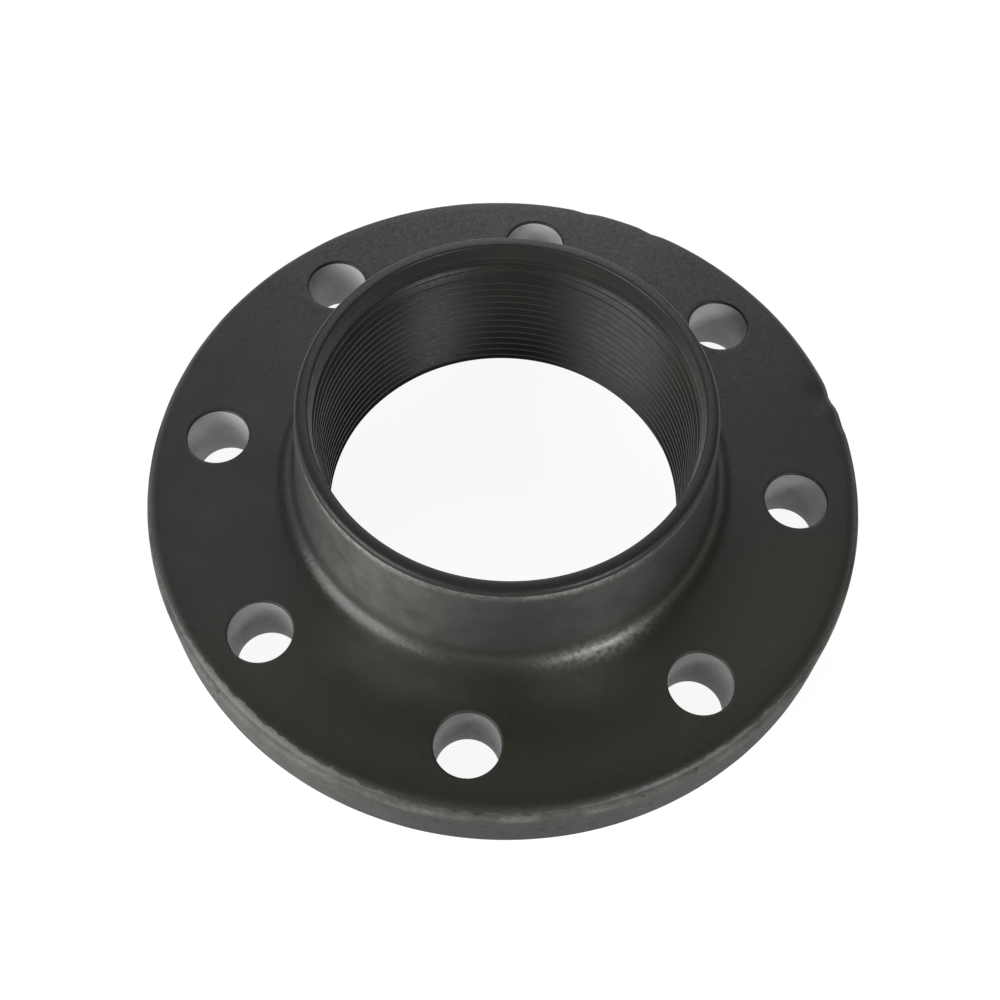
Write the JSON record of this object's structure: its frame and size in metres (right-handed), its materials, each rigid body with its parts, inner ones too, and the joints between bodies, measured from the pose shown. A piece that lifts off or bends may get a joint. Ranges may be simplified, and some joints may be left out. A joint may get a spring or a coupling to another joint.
{
  "type": "threaded pipe flange",
  "caption": "Round pipe flange with a tapered hub, a female pipe thread through the bore and a circle of bolt holes.",
  "frame": {"origin": "centre of the raised gasket face, on the bore axis", "axes": "+Z along the bore axis, from the gasket face to the hub's mouth; +X through the centre of a bolt hole"},
  "size_m": [0.22, 0.22, 0.062],
  "materials": {
    "black_iron": "satin black skin with bare metal worn through on its edges"
  },
  "bodies": {
    "root": {"flange": "black_iron"}
  },
  "joints": []
}
